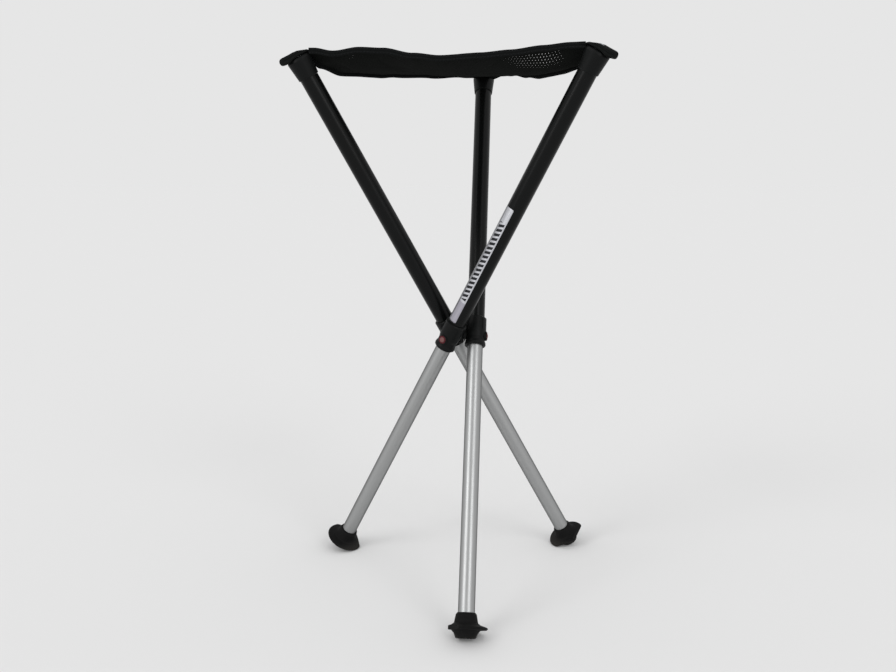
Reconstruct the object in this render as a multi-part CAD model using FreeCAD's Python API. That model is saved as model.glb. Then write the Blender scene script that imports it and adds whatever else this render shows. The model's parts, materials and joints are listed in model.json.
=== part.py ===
import FreeCAD, Part
import math
import os

from FreeCAD import Placement, Rotation, Vector

# Collapsible telescopic tripod stool: three telescopic legs turn on a three-sided
# hub, so that they cross there and carry a three-cornered mesh seat at their tops.
# Millimetres. +Z is up, the floor is Z = 0 and the Z axis runs through the hub.
# Leg 1's pivot axis points along +X; legs 2 and 3 follow at 120 and 240 degrees.
# A leg is drawn upright in its own frame: its axis is Z, its pivot is the origin and
# its pivot axis is X, pointing outwards. Heights in that frame are called u here.

# Stance
seat_height = 750.0       # floor to the highest edge of the seat's corners
leg_tilt = 30.4           # each open leg from the vertical, degrees
pivot_radius = 23.5       # stool axis to leg axis, at the pivot
lower_reach = 414.9       # pivot to the middle of the sole, along the leg
sole_lift = 5.05          # height of the sole's middle; the edge below it is cut flat

# Fits
fixed_gap = 0.05          # between pieces that are pressed, glued or screwed together
run_gap = 0.06            # radial gap of a turning pin in its hole
slide_gap = 0.1           # radial gap of a sliding piece in its guide
soft_gap = 0.3            # between a soft piece and its neighbour

# Tubes
outer_tube_radius = 12.5
outer_tube_wall = 1.2
outer_tube_foot = -10.0   # u of its lower end, inside the collar
inner_tube_radius = 11.0
inner_tube_wall = 1.0
inner_tube_insert = 62.0  # u of its upper end, with the leg pulled out

# Hub and pivots
hub_flat = 7.0            # stool axis to each of the hub's three flats
hub_height = 24.0
hub_corner_radius = 3.5
hub_edge = 1.2
washer_radius = 7.4
washer_thickness = 0.8
shoulder_radius = 3.0
thread_radius = 2.1
thread_length = 4.6
screw_head_radius = 5.0
screw_head_height = 2.0
screw_socket_radius = 1.6
screw_socket_depth = 1.4

# Collar
collar_top = 24.0
collar_bottom = -18.5
collar_radius = 15.3
collar_waist_radius = 13.6
collar_waist_top = -4.0
collar_waist_bottom = -11.0
collar_lip_radius = 14.9
collar_edge = 1.2
collar_lip_height = 2.0   # end wall that holds the guide ring in
collar_pad_radius = 8.0
collar_key_width = 3.0    # grooves moulded along the collar's outer side
collar_key_depth = 0.6

# Lock button, on the collar's outer side
button_u = -3.0
button_boss_radius = 6.8
button_boss_reach = 16.4  # leg axis to the boss's face
ring_radius = 5.5
ring_wall = 1.8
ring_proud = 0.7
ring_lip = 0.8
button_head_thickness = 0.9
button_dome_height = 0.9
button_stem_radius = 2.5
button_travel = 1.8

# Snap clip inside the inner tube
clip_pin_radius = 2.3
clip_pin_gap = 0.15
clip_strip = 0.7
clip_width = 8.0
clip_length = 34.0
clip_bend_radius = 3.0

# Leg cap
cap_length = 28.5
cap_rim_radius = 13.9
cap_top_radius = 16.4
cap_shoulder = 4.0        # height of the rounded top
cap_head = 6.5            # solid head above the tube's end
cap_plug_depth = 6.0
cap_plug_edge = 0.8
cap_rim_edge = 0.4

# Seat corner tabs
tab_thickness = 7.0
tab_inner = 12.0          # leg axis to the tab's seat end
tab_outer = 24.0          # leg axis to the tab's tip
tab_width = 25.0
tab_roll_radius = 4.6
tab_roll_drop = 0.8       # centre of the roll below the middle of the layers
tab_square = 2.0          # leg axis to where the tab starts to narrow
tab_tip_radius = 10.5
tab_screw_radius = 2.0
tab_screw_length = 7.0
tab_screw_head_radius = 4.5
tab_screw_head_height = 2.2
tab_screw_drive = 1.5

# Seat
seat_sag = 25.0           # how far the middle of the panel hangs below its corners
hem_sag = 12.0            # and the middle of each hem's upper edge
hem_width = 5.0
hem_depth = 14.0          # height of the turned-down hem at the corners
hem_rise = 5.0            # how much less that height is in the hem's middle
panel_thickness = 1.6
side_beyond = 16.7        # leg axis at the cap's top to where the hems' outer edges would meet
side_bow = 16.0           # how far each side bows in from a straight line
hem_drop = 1.0            # top of the hems' corners below the highest edge
panel_drop = 1.2          # top of the panel below the top of the hems
hem_mitre = 0.6           # seam between two hems at a corner

# Foot
foot_height = 31.8
foot_neck_radius = 13.3
foot_body_radius = 15.7
foot_body_height = 13.6   # neck top to the flange's root
flange_radius = 28.4
flange_top = 17.4         # neck top to the flange rim's upper edge
flange_rim = 3.6
flange_root_radius = 19.0
foot_hub_radius = 15.6
sole_radius = 13.4
nest_gap = 0.35           # flange flat to the plane halfway to the next leg
foot_groove_count = 3     # tread grooves in the sole
foot_groove_width = 1.6
foot_groove_depth = 1.0
foot_web = 6.0            # rubber under the tube's end
foot_edge = 1.4           # rounding of the neck's upper edge

# Small bushes
guide_length = 6.3
slide_bush_length = 12.0
slide_bush_lip = 2.0
foot_plug_length = 14.0
foot_plug_wall = 2.0

# Places worked out from the sizes above
tilt = math.radians(leg_tilt)
pivot_height = lower_reach * math.cos(tilt) + sole_lift
cap_top = (
    (seat_height - pivot_height - tab_inner * math.sin(tilt)) / math.cos(tilt)
    - tab_thickness
    - soft_gap
)
cap_rim = cap_top - cap_length
outer_tube_top = cap_top - cap_head
outer_tube_bore = outer_tube_radius - outer_tube_wall
inner_tube_bore = inner_tube_radius - inner_tube_wall
sole_u = -lower_reach
foot_top = sole_u + foot_height
inner_tube_foot = sole_u + foot_web
pad_face = pivot_radius - hub_flat - washer_thickness - 2 * fixed_gap
collar_bore = outer_tube_radius + fixed_gap
nest_plane = pivot_radius * math.cos(math.radians(30)) - nest_gap
button_step = button_boss_reach + ring_proud - ring_lip - button_head_thickness
button_floor = button_step - button_travel - 2 * fixed_gap
corner_angle = 90.0 - math.degrees(math.atan2(pivot_radius, cap_top * math.sin(tilt)))
side_reach = math.hypot(pivot_radius, cap_top * math.sin(tilt)) + side_beyond
side_inset = side_reach / 2 - side_bow
leg_angles = [0.0, 120.0, 240.0]

X = Vector(1, 0, 0)
Z = Vector(0, 0, 1)
ORIGIN = Vector(0, 0, 0)


def leg_placement(angle):
    """Where the upright leg frame lies on the open stool."""
    turn = Rotation(Z, angle).multiply(Rotation(X, -leg_tilt))
    foot = Rotation(Z, angle).multVec(Vector(pivot_radius, 0, pivot_height))
    return Placement(foot, turn)


def moved(shape, placement):
    """A copy of the shape at a placement."""
    copy = shape.copy()
    copy.Placement = placement.multiply(copy.Placement)
    return copy


def export(name, shape):
    assert shape.isValid(), name
    shape.exportStep("parts/" + name + ".step")
    return shape


def outline(points):
    """A closed wire of straight runs, and of arcs where a point is a pair (through, end)."""
    edges = []
    start = points[0]
    for item in points[1:] + [points[0]]:
        if isinstance(item, tuple):
            through, end = item
            edges.append(Part.Arc(start, through, end).toShape())
            start = end
        elif (item - start).Length > 1e-6:
            edges.append(Part.LineSegment(start, item).toShape())
            start = item
    return Part.Wire(edges)


def rz(radius, height):
    """A point of a profile that is revolved about the leg axis."""
    return Vector(radius, 0, height)


def revolved(points, axis=Z):
    return Part.Face(outline(points)).revolve(ORIGIN, axis, 360)


def rod(radius, start, end, axis=Z, centre=ORIGIN):
    """A cylinder along the axis, from start to end measured from the centre."""
    return Part.makeCylinder(radius, end - start, centre + axis * start, axis)


def tube(radius, bore, low, high):
    return rod(radius, low, high).cut(rod(bore, low - 1, high + 1))


def box(low, high):
    return Part.makeBox(high.x - low.x, high.y - low.y, high.z - low.z, low)


def edges_where(shape, test):
    """The edges whose every end and middle passes the test."""
    picked = []
    for edge in shape.Edges:
        middle = edge.valueAt((edge.FirstParameter + edge.LastParameter) / 2)
        points = [middle] + [v.Point for v in edge.Vertexes]
        if all(test(p) for p in points):
            picked.append(edge)
    return picked


# Hub, pivot screws and washers

def make_hub():
    """Three flats with a tapped hole in each, and rounded corners between them."""
    corner = 2 * hub_flat
    points = []
    for angle in leg_angles:
        turned = Rotation(Z, angle + 60).multVec(Vector(corner, 0, -hub_height / 2))
        points.append(turned)
    prism = Part.Face(outline(points)).extrude(Vector(0, 0, hub_height))
    upright = edges_where(prism, lambda p: math.hypot(p.x, p.y) > corner - 0.01)
    prism = prism.makeFillet(hub_corner_radius, upright)
    rims = edges_where(prism, lambda p: abs(p.z) > hub_height / 2 - 0.01)
    prism = prism.makeChamfer(hub_edge, rims)
    for angle in leg_angles:
        out = Rotation(Z, angle).multVec(X)
        tip = hub_flat - thread_length - fixed_gap
        prism = prism.cut(rod(thread_radius + fixed_gap, tip, hub_flat + 1, out))
    prism.translate(Vector(0, 0, pivot_height))
    return prism


def make_pivot_washer():
    """A thrust washer between the hub's flat and the collar's pad, round the stool's X axis."""
    low = hub_flat + fixed_gap
    high = low + washer_thickness
    ring = rod(washer_radius, low, high, X)
    ring = ring.cut(rod(shoulder_radius + run_gap, low - 1, high + 1, X))
    rims = edges_where(ring, lambda p: math.hypot(p.y, p.z) > washer_radius - 0.01)
    return ring.makeChamfer(washer_thickness / 4, rims)


def make_pivot_screw():
    """A shoulder screw with a sunk head, its axis on X and measured from the stool's axis."""
    head = pivot_radius - collar_bore - fixed_gap
    neck = head - screw_head_height
    face = hub_flat + fixed_gap
    tip = hub_flat - thread_length
    profile = [
        Vector(tip, 0, 0),
        Vector(tip, 0, thread_radius - 0.5),
        Vector(tip + 0.5, 0, thread_radius),
        Vector(face, 0, thread_radius),
        Vector(face, 0, shoulder_radius),
        Vector(neck, 0, shoulder_radius),
        Vector(head, 0, screw_head_radius),
        Vector(head, 0, 0),
    ]
    screw = Part.Face(outline(profile)).revolve(ORIGIN, X, 360)
    socket = rod(screw_socket_radius, head - screw_socket_depth, head + 1, X)
    return screw.cut(socket)


# The collar and what is in it

def make_collar():
    """The moulded joint at a leg's crossing: bore, waist, lip, pivot pad and button boss."""
    top = collar_top
    low = collar_bottom
    profile = [
        rz(0, low),
        rz(collar_lip_radius - collar_edge, low),
        rz(collar_lip_radius, low + collar_edge),
        rz(collar_lip_radius, collar_waist_bottom - 3.5),
        rz(collar_waist_radius, collar_waist_bottom),
        rz(collar_waist_radius, collar_waist_top - 2.0),
        rz(collar_radius - 0.6, collar_waist_top + 3.0),
        rz(collar_radius, collar_waist_top + 9.0),
        rz(collar_radius, top - collar_edge),
        rz(collar_radius - collar_edge, top),
        rz(0, top),
    ]
    body = revolved(profile)
    for side in (-1, 1):
        for lift in (50, 130):
            key = box(
                Vector(collar_radius - collar_key_depth, -collar_key_width / 2, 4.0),
                Vector(collar_radius + 2, collar_key_width / 2, top - 4.0),
            )
            body = body.cut(moved(key, Placement(ORIGIN, Rotation(Z, side * lift))))
    body = body.fuse(rod(collar_pad_radius, -pad_face, -outer_tube_radius, X))
    boss = rod(button_boss_radius, outer_tube_radius, button_boss_reach, X, Z * button_u)
    rim = edges_where(boss, lambda p: p.x > button_boss_reach - 0.01)
    body = body.fuse(boss.makeChamfer(collar_edge / 2, rim))
    body = body.cut(rod(collar_bore, low + collar_lip_height, top + 1))
    body = body.cut(rod(inner_tube_radius + 4 * slide_gap, low - 1, top + 1))
    body = body.cut(rod(shoulder_radius + run_gap, -pad_face - 1, -collar_bore + 2, X))
    sink_top = -collar_bore
    sink_low = sink_top - fixed_gap - screw_head_height
    sink = Part.makeCone(
        shoulder_radius + run_gap,
        screw_head_radius + run_gap + fixed_gap,
        sink_top - sink_low,
        Vector(sink_low, 0, 0),
        X,
    )
    entry = rod(screw_head_radius + run_gap + fixed_gap, sink_top, sink_top + 3, X)
    body = body.cut(sink).cut(entry)
    at_button = Z * button_u
    body = body.cut(rod(ring_radius + fixed_gap, button_floor, button_boss_reach + 2, X, at_button))
    body = body.cut(rod(button_stem_radius + run_gap, collar_bore - 2, button_floor + 1, X, at_button))
    return body.removeSplitter()


def make_guide_ring():
    """The wear ring that the inner tube slides in, held above the collar's end wall."""
    low = collar_bottom + collar_lip_height + fixed_gap
    bore = inner_tube_radius + slide_gap
    ring = tube(collar_bore - fixed_gap, bore, low, low + guide_length)
    rims = edges_where(ring, lambda p: math.hypot(p.x, p.y) < bore + 0.01)
    return ring.makeChamfer(0.4, rims)


def make_outer_tube():
    """The black upper tube, with the hole that the lock works through."""
    wall = tube(outer_tube_radius, outer_tube_bore, outer_tube_foot, outer_tube_top)
    hole = rod(button_stem_radius + run_gap, 0, outer_tube_radius + 1, X, Z * button_u)
    return wall.cut(hole)


def make_button_ring():
    """The coloured bezel pressed into the boss; its lip keeps the button in."""
    low = button_floor + fixed_gap
    high = button_boss_reach + ring_proud
    bore = ring_radius - ring_wall
    seat = bore + 0.6
    profile = [
        Vector(low, 0, seat),
        Vector(low, 0, ring_radius),
        Vector(high - 0.5, 0, ring_radius),
        Vector(high, 0, ring_radius - 0.5),
        Vector(high, 0, bore + 0.3),
        Vector(high - 0.3, 0, bore),
        Vector(high - ring_lip, 0, bore),
        Vector(high - ring_lip, 0, seat),
    ]
    ring = Part.Face(outline(profile)).revolve(ORIGIN, X, 360)
    ring.translate(Vector(0, 0, button_u))
    return ring


def make_lock_button():
    """A domed push button with a step under the bezel's lip and a stem through the tube's wall."""
    bore = ring_radius - ring_wall
    high = button_boss_reach + ring_proud - ring_lip - fixed_gap
    under = high - button_head_thickness
    tip = inner_tube_radius + slide_gap + button_travel
    face = high + ring_lip + fixed_gap
    dome = bore - slide_gap
    profile = [
        Vector(tip, 0, 0),
        Vector(tip, 0, button_stem_radius - 0.3),
        Vector(tip + 0.3, 0, button_stem_radius),
        Vector(under, 0, button_stem_radius),
        Vector(under, 0, bore + 0.6 - slide_gap),
        Vector(high, 0, bore + 0.6 - slide_gap),
        Vector(high, 0, dome),
        Vector(face, 0, dome),
        Vector(face + 0.7 * button_dome_height, 0, 0.6 * dome),
        Vector(face + button_dome_height, 0, 0),
    ]
    button = Part.Face(outline(profile)).revolve(ORIGIN, X, 360)
    button.translate(Vector(0, 0, button_u))
    return button


# Leg top

def make_leg_cap():
    """A flared cap over the tube's end, with a rounded top and a plug inside the tube."""
    top = cap_top
    head = outer_tube_top + fixed_gap
    profile = [
        rz(0, cap_rim),
        rz(cap_rim_radius - cap_rim_edge, cap_rim),
        rz(cap_rim_radius, cap_rim + cap_rim_edge),
        rz(cap_top_radius, top - cap_shoulder),
        rz(cap_top_radius - 0.3 * cap_shoulder, top - 0.3 * cap_shoulder),
        rz(cap_top_radius - cap_shoulder, top),
        rz(0, top),
    ]
    body = revolved(profile)
    sleeve = rod(outer_tube_radius + fixed_gap, cap_rim - 1, head)
    body = body.cut(sleeve)
    plug = rod(outer_tube_bore - fixed_gap, head - cap_plug_depth, head + 1)
    rim = edges_where(plug, lambda p: p.z < head - cap_plug_depth + 0.01)
    body = body.fuse(plug.makeChamfer(cap_plug_edge, rim))
    body = body.cut(rod(tab_screw_radius + fixed_gap, top - tab_screw_length, top + 1))
    return body.removeSplitter()


def make_corner_tab():
    """The seat's corner: layers of webbing folded flat on the cap and rolled at the tip."""
    low = cap_top + soft_gap
    high = low + tab_thickness
    middle = (low + high) / 2 - tab_roll_drop
    roll = tab_outer - tab_roll_radius
    side = [
        Vector(0, -tab_inner, low),
        Vector(0, roll - 7, low),
        Vector(0, roll - 2, middle - tab_roll_radius + 0.2),
        Vector(0, roll, middle - tab_roll_radius),
        (Vector(0, tab_outer, middle), Vector(0, roll, middle + tab_roll_radius)),
        Vector(0, roll - 5, high - 0.3),
        Vector(0, tab_square, high),
        Vector(0, -tab_inner, high),
    ]
    half = tab_width / 2
    slab = Part.Face(outline(side)).extrude(Vector(tab_width, 0, 0))
    slab.translate(Vector(-half, 0, 0))
    start = low - 2 * tab_roll_radius
    plan = [
        Vector(-half, -tab_inner - 1, start),
        Vector(half, -tab_inner - 1, start),
        Vector(half, tab_square, start),
        Vector(tab_tip_radius, tab_outer - tab_tip_radius, start),
        (
            Vector(0, tab_outer, start),
            Vector(-tab_tip_radius, tab_outer - tab_tip_radius, start),
        ),
        Vector(-half, tab_square, start),
    ]
    tab = slab.common(Part.Face(outline(plan)).extrude(Vector(0, 0, 4 * tab_thickness)))
    hole = rod(tab_screw_radius + soft_gap, low - 5, high + 5)
    sink = rod(tab_screw_head_radius + soft_gap, high - tab_screw_head_height, high + 5)
    return tab.cut(hole).cut(sink).removeSplitter()


def make_tab_screw():
    """The pan-head screw that holds the tab down on the cap."""
    high = cap_top + soft_gap + tab_thickness
    neck = high - tab_screw_head_height + fixed_gap
    tip = cap_top - tab_screw_length + 0.5
    profile = [
        rz(0, tip),
        rz(0.8, tip),
        rz(tab_screw_radius, tip + 1.6),
        rz(tab_screw_radius, neck),
        rz(tab_screw_head_radius, neck),
        rz(tab_screw_head_radius, neck + 0.4 * tab_screw_head_height),
        rz(0.6 * tab_screw_head_radius, neck + 0.9 * tab_screw_head_height),
        rz(0, neck + 0.9 * tab_screw_head_height),
    ]
    screw = revolved(profile)
    drive = rod(tab_screw_drive, neck + 0.4 * tab_screw_head_height, neck + 5)
    return screw.cut(drive)


# Lower leg

def make_inner_tube():
    """The bright lower tube, with the hole for the clip's pin."""
    wall = tube(inner_tube_radius, inner_tube_bore, inner_tube_foot, inner_tube_insert)
    hole = rod(clip_pin_radius + clip_pin_gap, 0, inner_tube_radius + 1, X, Z * button_u)
    return wall.cut(hole)


def make_slide_bush():
    """The plug on top of the inner tube, which guides it in the outer one."""
    top = inner_tube_insert + slide_bush_lip
    low = top - slide_bush_length
    profile = [
        rz(inner_tube_bore - 3.0, low),
        rz(inner_tube_bore - fixed_gap - 0.5, low),
        rz(inner_tube_bore - fixed_gap, low + 0.8),
        rz(inner_tube_bore - fixed_gap, inner_tube_insert + fixed_gap),
        rz(outer_tube_bore - slide_gap, inner_tube_insert + fixed_gap),
        rz(outer_tube_bore - slide_gap, top - 0.5),
        rz(outer_tube_bore - slide_gap - 0.5, top),
        rz(inner_tube_bore - 3.0, top),
    ]
    return revolved(profile)


def make_snap_clip():
    """A bent leaf spring in the inner tube that pushes its round pin into the tube's hole."""
    half = clip_width / 2
    wall = math.sqrt(inner_tube_bore ** 2 - half ** 2) - fixed_gap
    low = button_u - 5.0
    top = low + clip_length
    bend = clip_bend_radius
    s = clip_strip
    profile = [
        Vector(wall, 0, low),
        Vector(wall - 0.4, 0, low + 10.0),
        Vector(bend, 0, top - bend),
        (Vector(0, 0, top), Vector(-bend, 0, top - bend)),
        Vector(-wall, 0, low + 2.0),
        Vector(-wall + s, 0, low + 2.0),
        Vector(-bend + s, 0, top - bend),
        (Vector(0, 0, top - s), Vector(bend - s, 0, top - bend)),
        Vector(wall - 0.4 - s, 0, low + 10.0),
        Vector(wall - s, 0, low),
    ]
    strip = Part.Face(outline(profile)).extrude(Vector(0, clip_width, 0))
    strip.translate(Vector(0, -half, 0))
    reach = inner_tube_radius - fixed_gap
    pin = rod(clip_pin_radius, wall - s - 0.6, reach, X, Z * button_u)
    rim = edges_where(pin, lambda p: p.x > reach - 0.01)
    return strip.fuse(pin.makeChamfer(0.4, rim)).removeSplitter()


def make_foot_plug():
    """The plastic insert that closes the tube's lower end and keeps it from cutting the rubber."""
    low = inner_tube_foot + fixed_gap
    radius = inner_tube_bore - fixed_gap
    body = rod(radius, low, low + foot_plug_length)
    rim = edges_where(body, lambda p: p.z > low + foot_plug_length - 0.01)
    body = body.makeChamfer(0.8, rim)
    hollow = rod(radius - foot_plug_wall, low + foot_plug_wall, low + foot_plug_length + 1)
    return body.cut(hollow)


def make_foot(placement):
    """The rubber foot, drawn in the leg frame, trimmed to nest and cut flat at the floor."""
    top = foot_top
    body_low = top - foot_body_height
    rim_high = top - flange_top
    rim_low = rim_high - flange_rim
    edge = rim_low + 0.4 * flange_rim
    low = sole_u
    profile = [
        rz(0, low),
        rz(sole_radius - 0.8, low),
        rz(sole_radius, low + 0.8),
        rz(foot_hub_radius, low + 0.6 * (rim_low - low)),
        rz(flange_root_radius, rim_low - 0.8),
        rz(flange_radius - 1.2, rim_low),
        rz(flange_radius, edge),
        rz(flange_radius - 0.9, rim_high - 0.5 * foot_edge),
        rz(flange_radius - 2.4, rim_high),
        rz(flange_root_radius, body_low - 1.6),
        rz(foot_body_radius, body_low + 0.8),
        rz(foot_neck_radius + 0.3, top - 1.6 * foot_edge),
        rz(foot_neck_radius - foot_edge, top),
        rz(0, top),
    ]
    body = revolved(profile)
    for side in (150, -150):
        flat = box(
            Vector(nest_plane, -40, low - 1),
            Vector(nest_plane + 40, 40, top + 1),
        )
        body = body.cut(moved(flat, Placement(ORIGIN, Rotation(Z, side))))
    for number in range(foot_groove_count):
        across = (number - (foot_groove_count - 1) / 2) * 3 * foot_groove_width
        groove = box(
            Vector(across - foot_groove_width / 2, -20, low - 1),
            Vector(across + foot_groove_width / 2, 20, low + foot_groove_depth),
        )
        body = body.cut(groove)
    body = body.cut(rod(inner_tube_radius + fixed_gap, inner_tube_foot - fixed_gap, top + 1))
    open_foot = moved(body, placement)
    reach = 2 * lower_reach
    floor = box(Vector(-reach, -reach, -60), Vector(reach, reach, 0))
    return open_foot.cut(floor)


# Seat

def side_circle(inset):
    """Plan circle of one hollow side that faces +X: (distance of its centre, radius)."""
    along = side_reach * math.cos(math.radians(60))
    across = side_reach * math.sin(math.radians(60))
    centre = (along ** 2 + across ** 2 - side_inset ** 2) / (2 * (along - side_inset))
    return centre, centre - inset


def corner_reach(inset):
    """Stool axis to where two such sides meet."""
    centre, radius = side_circle(inset)
    return (centre - math.sqrt(centre ** 2 - 4 * (centre ** 2 - radius ** 2))) / 2


def sag_below_corner(across):
    """How far a side hangs below its ends, at a distance from its middle."""
    half = side_reach * math.sin(math.radians(60))
    return hem_sag * (1 - (across / half) ** 2)


def make_hem(corner_ends):
    """One turned-down edge of the seat, on the side that faces +X, sagging between corners."""
    top = seat_height - hem_drop
    half = side_reach * math.sin(math.radians(60))
    low = top - hem_depth
    sagged = [
        Vector(0, -half, low),
        (Vector(0, 0, low - hem_sag + hem_rise), Vector(0, half, low)),
        Vector(0, half, top),
        (Vector(0, 0, top - hem_sag), Vector(0, -half, top)),
    ]
    slab = Part.Face(outline(sagged)).extrude(Vector(side_reach, 0, 0))
    centre, outer = side_circle(side_inset)
    inner = side_circle(side_inset - hem_width)[1]
    base = Vector(centre, 0, low - 2 * hem_sag)
    height = top + 5 * hem_sag
    strip = Part.makeCylinder(inner, height, base, Z)
    strip = strip.cut(Part.makeCylinder(outer, height, base, Z))
    band = slab.common(strip)
    reach = 2 * side_reach
    beyond = box(Vector(-reach, -hem_mitre / 2, 0), Vector(reach, reach, 2 * seat_height))
    far_end = moved(beyond, Placement(ORIGIN, Rotation(Z, 60)))
    band = band.cut(far_end).cut(far_end.mirror(ORIGIN, Vector(0, 1, 0)))
    for end in corner_ends:
        band = band.cut(end)
    return max(band.Solids, key=lambda piece: piece.Volume)


def make_panel(corner_ends):
    """The mesh panel: one sheet hung from its three sides, lowest in the middle."""
    height = seat_height - hem_drop - panel_drop - panel_thickness
    inset = side_inset - hem_width - soft_gap
    reach = corner_reach(inset)
    across = reach * math.sin(math.radians(60))
    along = reach * math.cos(math.radians(60))
    corner = height - sag_below_corner(across)
    points = [
        Vector(along, -across, corner),
        Vector(inset, 0, height - hem_sag),
        Vector(along, across, corner),
    ]
    filling = Part.BRepOffsetAPI.MakeFilling()
    for angle in leg_angles:
        turn = Rotation(Z, angle + corner_angle + 60)
        side = Part.Arc(*[turn.multVec(p) for p in points])
        filling.add(side.toShape(), 0)
    filling.add(Vector(0, 0, height - seat_sag))
    filling.build()
    sheet = filling.shape().extrude(Vector(0, 0, panel_thickness))
    for end in corner_ends:
        sheet = sheet.cut(end)
    return max(sheet.Solids, key=lambda piece: piece.Volume)


# Assembly

os.makedirs("parts", exist_ok=True)

export("hub", make_hub())
washer = make_pivot_washer()
screw = make_pivot_screw()
at_pivot = Placement(Vector(0, 0, pivot_height), Rotation())

leg_pieces = {
    "collar": make_collar(),
    "guide_ring": make_guide_ring(),
    "outer_tube": make_outer_tube(),
    "button_ring": make_button_ring(),
    "lock_button": make_lock_button(),
    "leg_cap": make_leg_cap(),
    "corner_tab": make_corner_tab(),
    "tab_screw": make_tab_screw(),
    "inner_tube": make_inner_tube(),
    "slide_bush": make_slide_bush(),
    "snap_clip": make_snap_clip(),
    "foot_plug": make_foot_plug(),
}

clear_of_cap = rod(cap_top_radius + soft_gap, cap_rim, cap_top + soft_gap)
clear_of_tab = box(
    Vector(-2 * tab_width, -tab_inner - soft_gap, cap_rim),
    Vector(2 * tab_width, 4 * tab_width, cap_top + 4 * tab_width),
)

leg_ends = []
for number, angle in enumerate(leg_angles, 1):
    end = "_" + str(number)
    around = at_pivot.multiply(Placement(ORIGIN, Rotation(Z, angle)))
    export("pivot_washer" + end, moved(washer, around))
    export("pivot_screw" + end, moved(screw, around))
    on_leg = leg_placement(angle)
    for name, piece in leg_pieces.items():
        export(name + end, moved(piece, on_leg))
    export("foot" + end, make_foot(on_leg))
    leg_ends.append(moved(clear_of_cap, on_leg))
    leg_ends.append(moved(clear_of_tab, on_leg))

side_turn = Placement(ORIGIN, Rotation(Z, corner_angle + 60))
side_ends = []
for angle in (0.0, 120.0):
    at_corner = side_turn.inverse().multiply(leg_placement(angle))
    side_ends.append(moved(clear_of_cap, at_corner))
    side_ends.append(moved(clear_of_tab, at_corner))
hem = make_hem(side_ends)
for number, angle in enumerate(leg_angles, 1):
    around = Placement(ORIGIN, Rotation(Z, angle)).multiply(side_turn)
    export("seat_hem_" + str(number), moved(hem, around))
export("seat_panel", make_panel(leg_ends))
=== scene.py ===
import json
import math

import bmesh
import bpy
from bpy.props import FloatProperty, FloatVectorProperty, IntProperty, PointerProperty
from mathutils import Matrix, Vector


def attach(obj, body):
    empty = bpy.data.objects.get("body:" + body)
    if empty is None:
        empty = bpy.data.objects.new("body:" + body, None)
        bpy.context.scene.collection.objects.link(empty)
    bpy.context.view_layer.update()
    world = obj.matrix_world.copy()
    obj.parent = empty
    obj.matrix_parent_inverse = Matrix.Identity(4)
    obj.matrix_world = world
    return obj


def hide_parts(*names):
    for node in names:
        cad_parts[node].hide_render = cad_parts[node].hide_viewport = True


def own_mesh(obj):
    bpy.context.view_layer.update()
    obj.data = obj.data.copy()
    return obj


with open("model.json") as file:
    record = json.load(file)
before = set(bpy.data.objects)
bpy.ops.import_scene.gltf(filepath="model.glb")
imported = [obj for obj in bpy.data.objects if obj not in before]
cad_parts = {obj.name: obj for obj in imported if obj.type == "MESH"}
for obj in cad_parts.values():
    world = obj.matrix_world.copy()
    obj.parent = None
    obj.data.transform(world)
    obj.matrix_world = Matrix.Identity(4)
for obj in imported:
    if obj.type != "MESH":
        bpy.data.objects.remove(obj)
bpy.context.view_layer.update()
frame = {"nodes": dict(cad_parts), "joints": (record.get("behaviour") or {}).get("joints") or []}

bl_info = {
    "name": "Folding tripod stool",
    "version": (1, 0, 0),
    "blender": (4, 5, 0),
    "location": "3D View > Sidebar > Stool",
    "description": "Dresses the stool with its mesh seat, sewn edges, label and finishes",
    "category": "Object",
}

# Lengths in this file are metres, as in Blender; MM turns a size in millimetres into one.
MM = 0.001
LEGS = (1, 2, 3)
UP = Vector((0, 0, 1))
# The seat is made in slices round its middle.
SLICES = 24
# Corner weight above which the mesh lies under a corner tab and is left out.
UNDER_TAB = 0.94
# Pieces of the construction that stand for cloth; the sewn pieces below replace them.
CLOTH_NODES = ("seat_panel", "seat_hem", "corner_tab")


# Colours, nodes and meshes

def srgb(code):
    """A hex colour as the linear colour that shaders work in."""
    channels = [int(code[i:i + 2], 16) / 255 for i in (1, 3, 5)]
    return tuple(c / 12.92 if c <= 0.04045 else ((c + 0.055) / 1.055) ** 2.4 for c in channels)


def add_node(tree, kind, settings=None, links=None):
    """Adds a node, gives it its properties and socket values, and links sockets into it."""
    node = tree.nodes.new(kind)
    for name, value in (settings or {}).items():
        if isinstance(name, str) and hasattr(node, name):
            setattr(node, name, value)
        else:
            node.inputs[name].default_value = value
    for name, source in (links or {}).items():
        tree.links.new(source, node.inputs[name])
    return node


def new_material(name, colour, roughness, metallic=0.0, **sockets):
    """A material with its shader's plain values set; the pattern is linked in afterwards."""
    material = bpy.data.materials.new(name)
    material.use_nodes = True
    tree = material.node_tree
    shader = tree.nodes["Principled BSDF"]
    shader.inputs["Base Color"].default_value = (*colour, 1.0)
    shader.inputs["Roughness"].default_value = roughness
    shader.inputs["Metallic"].default_value = metallic
    for socket, value in sockets.items():
        shader.inputs[socket.replace("_", " ")].default_value = value
    return material, tree, shader


def two_tones(tree, shader, pattern, dark, light):
    """Colours the surface between two tones by a pattern from 0 to 1."""
    mix = add_node(
        tree,
        "ShaderNodeMix",
        {"data_type": "RGBA", 6: (*dark, 1.0), 7: (*light, 1.0)},
        {0: pattern},
    )
    tree.links.new(mix.outputs[2], shader.inputs["Base Color"])


def range_of(tree, pattern, low, high, target):
    """Stretches a pattern from 0 to 1 over a range of values for a socket."""
    spread = add_node(
        tree, "ShaderNodeMapRange", {"To Min": low, "To Max": high}, {"Value": pattern}
    )
    tree.links.new(spread.outputs["Result"], target)


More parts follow.
